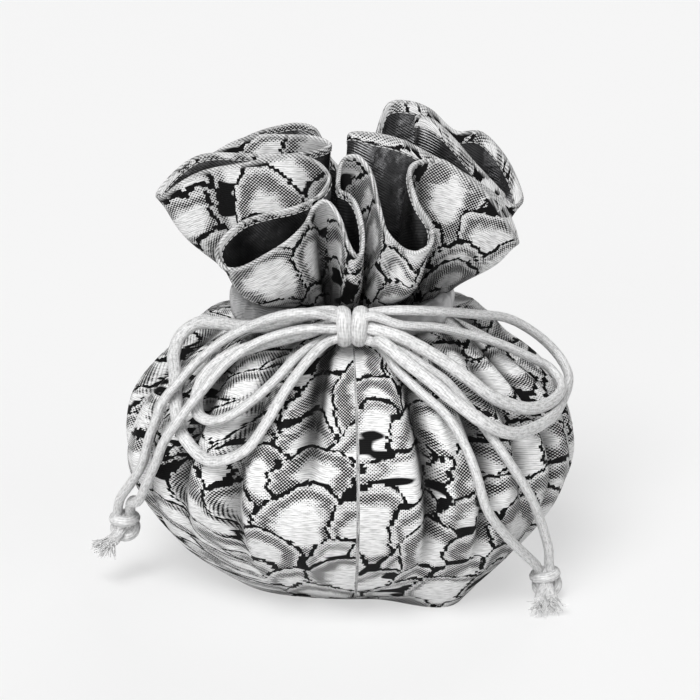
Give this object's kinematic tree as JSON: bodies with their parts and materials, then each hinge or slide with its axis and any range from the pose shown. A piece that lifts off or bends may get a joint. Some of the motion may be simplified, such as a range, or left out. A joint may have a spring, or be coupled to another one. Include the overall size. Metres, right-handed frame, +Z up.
{
  "type": "jewelry pouch",
  "caption": "Drawstring jewelry pouch in patterned jacquard with a satin lining, a gathered neck, a folded ruffle and cords tied in a bow with knotted, frayed ends.",
  "frame": {"origin": "middle of the flat base, on the surface the pouch stands on", "axes": "+Z up, -Y towards the front where the bow is, +X to the right as seen from the front"},
  "size_m": [0.1308, 0.1217, 0.1236],
  "materials": {
    "jacquard": "patterned weave",
    "satin": "satin",
    "satin_band": "satin",
    "cord_satin": "braided satin cord"
  },
  "bodies": {
    "root": {"outer_shell": "jacquard", "lining": "satin", "neck_band": "satin_band", "neck_cord_upper": "cord_satin", "neck_cord_lower": "cord_satin", "bow_knot": "cord_satin", "loop_left_outer": "cord_satin", "loop_left_inner": "cord_satin", "loop_right_outer": "cord_satin", "loop_right_inner": "cord_satin", "tail_left_1": "cord_satin", "tail_left_2": "cord_satin", "tail_right_1": "cord_satin", "tail_right_2": "cord_satin", "end_knot_left": "cord_satin", "end_knot_right": "cord_satin"}
  },
  "joints": []
}
